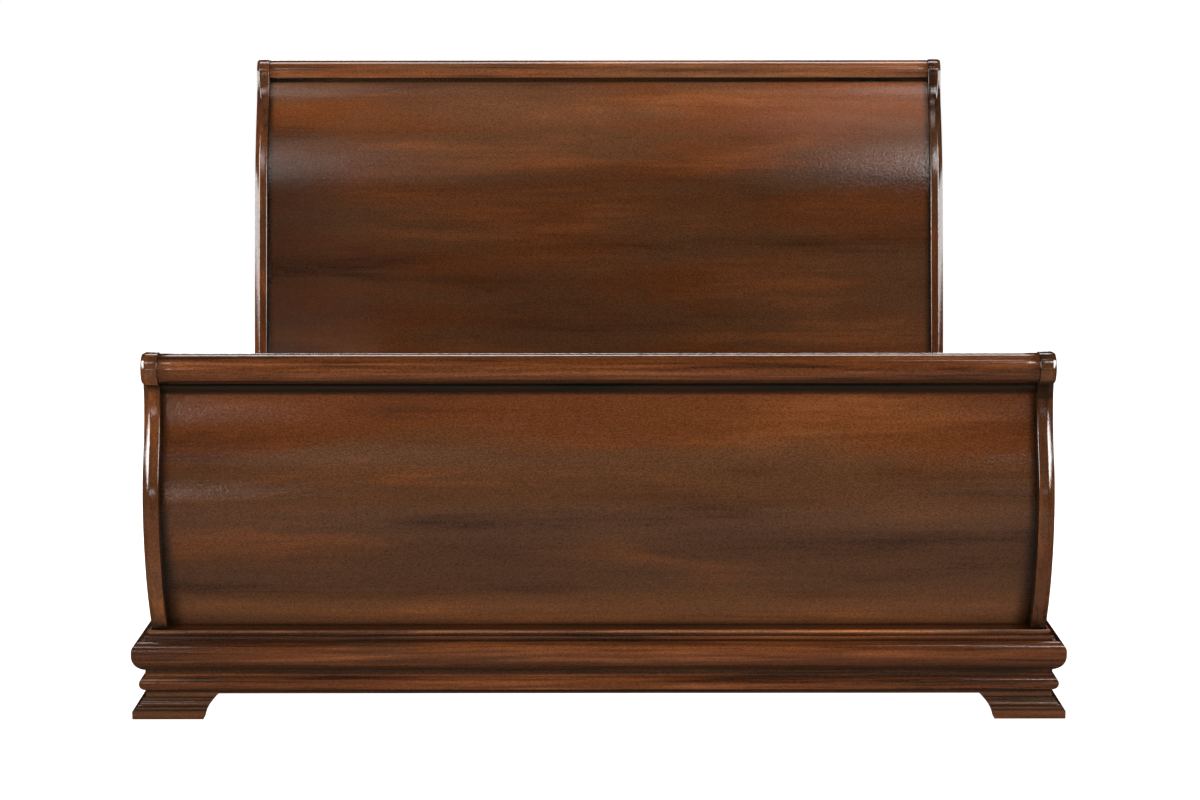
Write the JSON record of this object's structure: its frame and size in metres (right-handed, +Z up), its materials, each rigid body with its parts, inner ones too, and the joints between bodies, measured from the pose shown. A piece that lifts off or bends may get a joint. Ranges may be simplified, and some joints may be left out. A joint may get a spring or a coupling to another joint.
{
  "type": "sleigh bed",
  "caption": "King-size sleigh bed: bent headboard and footboard panels between S-shaped posts with rolled tops, on a moulded base with bracket feet, side rails and slats.",
  "frame": {"origin": "on the floor, in the middle of the bed's outline seen from above", "axes": "+X across the bed, +Y from the footboard to the headboard, +Z up"},
  "size_m": [2.14, 2.455, 1.4324],
  "materials": {
    "lacquered_mahogany": "dark red-brown stain with glaze in the recesses under clear gloss lacquer",
    "plain_hardwood": "bare planed hardwood",
    "zinc_steel": "zinc-plated pressed steel"
  },
  "bodies": {
    "bedstead": {"beam_saddles": "zinc_steel", "centre_beam": "plain_hardwood", "centre_leg_1": "plain_hardwood", "centre_leg_2": "plain_hardwood", "centre_leg_3": "plain_hardwood", "corner_blocks": "plain_hardwood", "foot_apron_board": "plain_hardwood", "foot_back_rail": "plain_hardwood", "foot_base_moulding": "lacquered_mahogany", "foot_base_return_left": "lacquered_mahogany", "foot_base_return_right": "lacquered_mahogany", "foot_bracket_front_left": "lacquered_mahogany", "foot_bracket_front_right": "lacquered_mahogany", "foot_bracket_side_left": "lacquered_mahogany", "foot_bracket_side_right": "lacquered_mahogany", "foot_panel": "lacquered_mahogany", "foot_post_left": "lacquered_mahogany", "foot_post_right": "lacquered_mahogany", "foot_roll_rail": "lacquered_mahogany", "foot_sill_board": "lacquered_mahogany", "head_base_return_left": "lacquered_mahogany", "head_base_return_right": "lacquered_mahogany", "head_bottom_rail": "lacquered_mahogany", "head_bracket_left": "lacquered_mahogany", "head_bracket_right": "lacquered_mahogany", "head_panel": "lacquered_mahogany", "head_post_left": "lacquered_mahogany", "head_post_right": "lacquered_mahogany", "head_roll_rail": "lacquered_mahogany", "ledger_screws": "zinc_steel", "post_strike_plates": "zinc_steel", "rail_hook_plates": "zinc_steel", "rail_moulding_left": "lacquered_mahogany", "rail_moulding_right": "lacquered_mahogany", "roll_dowels": "plain_hardwood", "side_rail_left": "lacquered_mahogany", "side_rail_right": "lacquered_mahogany", "slat_01": "plain_hardwood", "slat_02": "plain_hardwood", "slat_03": "plain_hardwood", "slat_04": "plain_hardwood", "slat_05": "plain_hardwood", "slat_06": "plain_hardwood", "slat_07": "plain_hardwood", "slat_08": "plain_hardwood", "slat_09": "plain_hardwood", "slat_10": "plain_hardwood", "slat_11": "plain_hardwood", "slat_12": "plain_hardwood", "slat_13": "plain_hardwood", "slat_ledger_left": "plain_hardwood", "slat_ledger_right": "plain_hardwood", "slat_screws": "zinc_steel"},
    "leveller_1_body": {"leveller_1": "zinc_steel"},
    "leveller_2_body": {"leveller_2": "zinc_steel"},
    "leveller_3_body": {"leveller_3": "zinc_steel"}
  },
  "joints": [
    {"name": "leveller_1_screw", "type": "slide", "parent": "bedstead", "child": "leveller_1_body", "axis": [0, 0, 1], "range_m": [-0.012, 0]},
    {"name": "leveller_2_screw", "type": "slide", "parent": "bedstead", "child": "leveller_2_body", "axis": [0, 0, 1], "range_m": [-0.012, 0]},
    {"name": "leveller_3_screw", "type": "slide", "parent": "bedstead", "child": "leveller_3_body", "axis": [0, 0, 1], "range_m": [-0.012, 0]}
  ]
}
